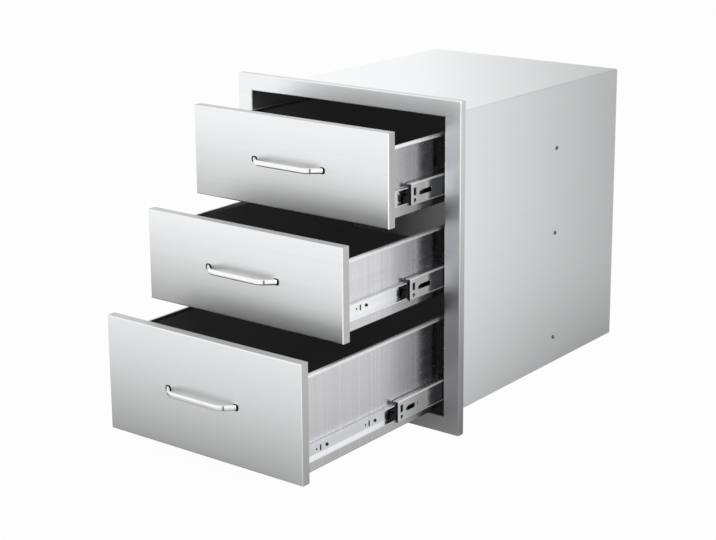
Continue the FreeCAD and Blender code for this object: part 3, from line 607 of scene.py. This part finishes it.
def bow(front, level):
    """Bar on a path of two arms at 45 degrees, two arcs and a straight grip.

    A point of the path plus the section's two coordinates along the path's normal and upright;
    at the feet the section is sheared into the plane of the front.
    """
    reach, radius, foot = 0.0184, 0.0235, 0.0695
    half_section, squareness, turns = (0.0025, 0.0044), 2.8, 40
    bend = np.linspace(0, np.pi / 4, 25)
    corner = foot - reach
    start = corner - radius * math.tan(np.pi / 8)
    arc = np.stack([start + radius * np.sin(bend), radius * (1 - np.cos(bend)) - reach], 1)
    arm = np.linspace(arc[-1], (foot, 0), 12)[1:]
    half = np.vstack([arc, arm])
    tilt = np.concatenate([bend, np.full(len(arm), np.pi / 4)])
    grip = np.linspace(-start, start, 32)[1:-1]
    path = np.vstack([half[::-1] * (-1, 1), np.stack([grip, 0 * grip - reach], 1), half])
    tilt = np.concatenate([-tilt[::-1], 0 * grip, tilt])
    normal = np.stack([np.sin(tilt), -np.cos(tilt)], 1)
    normal[0] = (-math.sqrt(2), 0)
    normal[-1] = (math.sqrt(2), 0)
    u, v = superellipse(half_section, squareness, turns)
    rows = np.zeros((len(path), turns, 3))
    rows[..., :2] = path[:, None] + normal[:, None] * u[None, :, None]
    rows[..., 2] = v
    rows += (0, front, level)
    middle = rows.mean(1)
    return closed_rows(middle[0], rows, middle[-1])


def domed_disc(place, axes, half, power, height, rings=14, turns=48):
    """Flat underside and a top whose height is a function of the place on the disc.

    The rings follow a superellipse at shares sin(t) of its size, closer together towards its rim.
    A point is the place plus x, y and the height along the three axes.
    """
    share = np.sin(np.linspace(0, np.pi / 2, rings + 1)[1:])[:, None]
    x, y = (share * part for part in superellipse(half, power, turns))
    x, y = np.vstack([x, x[::-1]]), np.vstack([y, y[::-1]])
    lift = height(share, x[:rings], y[:rings])
    lift = np.vstack([lift, 0 * lift])
    a, b, out = (np.array(axis, float) for axis in axes)
    rows = np.array(place) + x[..., None] * a + y[..., None] * b + lift[..., None] * out
    centre = np.zeros(1)
    peak = np.array(place) + out * float(height(centre, centre, centre)[0])
    return closed_rows(peak, rows, np.array(place, float))


def seat_height(share, x, y):
    """Low dome: edge + crown * sqrt(1 - share^6), 0.3 mm at its edge and 1.4 mm in the middle."""
    edge, crown = 0.0003, 0.0011
    return edge + crown * np.sqrt(1 - share ** 6) + 0 * x


# Polished bar: nearly a mirror, with long bright lines. Nylon: charcoal, without any shine.
polished = brushed_metal("polished stainless bar", "#F4F4F3", x_axis, 0.12, 0.3)
nylon = brushed_metal("black nylon", "#262628", x_axis, 0.55, 0.0)
seat_x, seat_half, seat_squareness = 0.0688, (0.0056, 0.0054), 3
to_the_front = ((1, 0, 0), (0, 0, 1), (0, -1, 0))
for name in drawers:
    low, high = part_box(name + "_handle")
    middle = (low.z + high.z) / 2
    add_piece(name + "_polished_handle", [bow(high.y, middle)], polished, name + "_handle",
              [name + "_handle"])
    add_piece(name + "_handle_seats", [
        domed_disc((way * seat_x, high.y, middle), to_the_front, seat_half, seat_squareness,
                   seat_height) for way in (-1, 1)],
        nylon, name + "_front_pan")
    dress(name + "_handle_screws", polished)


# Screws: pan heads with a cross recess, in place of the plain heads. Those that hold the drawer
# rails are 5.4 mm across and blackened, those in the cabinet's sides 7 mm and zinc plated.
# Between them, black dished discs on the tub behind the rail's punched holes and slots are painted
# shade for the dark gap behind the strip.
def head_height(share, x, y):
    """Pan head 1.8 mm high: a dome less a cross that deepens to its middle.

    Dome: 1 - 0.35 share^2 - 0.55 share^12. Cross: where the smaller of |x| and |y| is under the
    half width and the larger one under the reach, both with a soft edge.
    """
    crown, depth, half_width, reach = 0.0018, 0.001, 0.00045, 0.0017
    soft_side, soft_end, runs_out = 0.00008, 0.0001, 0.003
    dome = crown * (1 - 0.35 * share ** 2 - 0.55 * share ** 12)
    arm = np.minimum(np.abs(x), np.abs(y))
    length = np.maximum(np.abs(x), np.abs(y))
    inside = 1 / (1 + np.exp((arm - half_width) / soft_side))
    cut = inside / (1 + np.exp((length - reach) / soft_end))
    return dome - depth * cut * (1 - length / runs_out)


def dish(share, x, y):
    """Shallow hollow: middle + rise * share^2, 0.2 mm high in its middle and 0.5 mm at its rim."""
    middle, rise = 0.0002, 0.0003
    return middle + rise * share ** 2 + 0 * x


def turned_out(way):
    """Axes of a disc that looks along X or against it, right handed."""
    return ((0, way, 0), (0, 0, 1), (way, 0, 0))


# Blackened steel: charcoal with a soft shine. Zinc plate: mid grey. Hole shade: painted, black and
# without shine.
black_screw = brushed_metal("blackened steel screw", "#2E2E30", x_axis, 0.42, 0.0)
grey_screw = brushed_metal("zinc plated screw", "#626264", x_axis, 0.45, 0.0)
painted_hole_shade = brushed_metal("punched hole in shadow", "#0B0B0C", x_axis, 0.7, 0.0)
strip, on_tub = 0.0012, 0.0001
hole_from_end, slot_after_hole, screw_after_hole, pitch = 0.026, 0.009, 0.024, 0.118
drawer_head, cabinet_head = 0.0027, 0.0035
hole_half, slot_half = (0.00172, 0.00172), (0.00157, 0.00447)
heads_low, heads_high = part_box("slide_screws")
heads = []
for name in drawers:
    low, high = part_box(name + "_right_drawer_rail")
    level = (low.z + high.z) / 2
    hole = low.y + hole_from_end
    heads += [domed_disc((way * wrap_corner.x, (heads_low.y + heads_high.y) / 2, level),
                         turned_out(way), (cabinet_head, cabinet_head), 2, head_height, 24, 72)
              for way in (-1, 1)]
    add_piece(name + "_cross_screws", [
        domed_disc((way * (low.x + strip), hole + screw_after_hole + step * pitch, level),
                   turned_out(way), (drawer_head, drawer_head), 2, head_height, 24, 72)
        for way in (-1, 1) for step in (0, 1)], black_screw, name + "_rail_screws",
        [name + "_rail_screws"])
    round_hole_shades = [domed_disc((way * (low.x + on_tub), hole + step * pitch, level),
                              turned_out(way), hole_half, 2, dish)
                   for way in (-1, 1) for step in (0, 1)]
    slot_shades = [domed_disc((way * (low.x + on_tub), hole + slot_after_hole + step * pitch, level),
                        turned_out(way), slot_half, 10, dish)
             for way in (-1, 1) for step in range(4)]
    add_piece(name + "_hole_shade_discs", round_hole_shades + slot_shades, painted_hole_shade, name + "_tub")
add_piece("cabinet_cross_screws", heads, grey_screw, "slide_screws",
          ["slide_screws"])
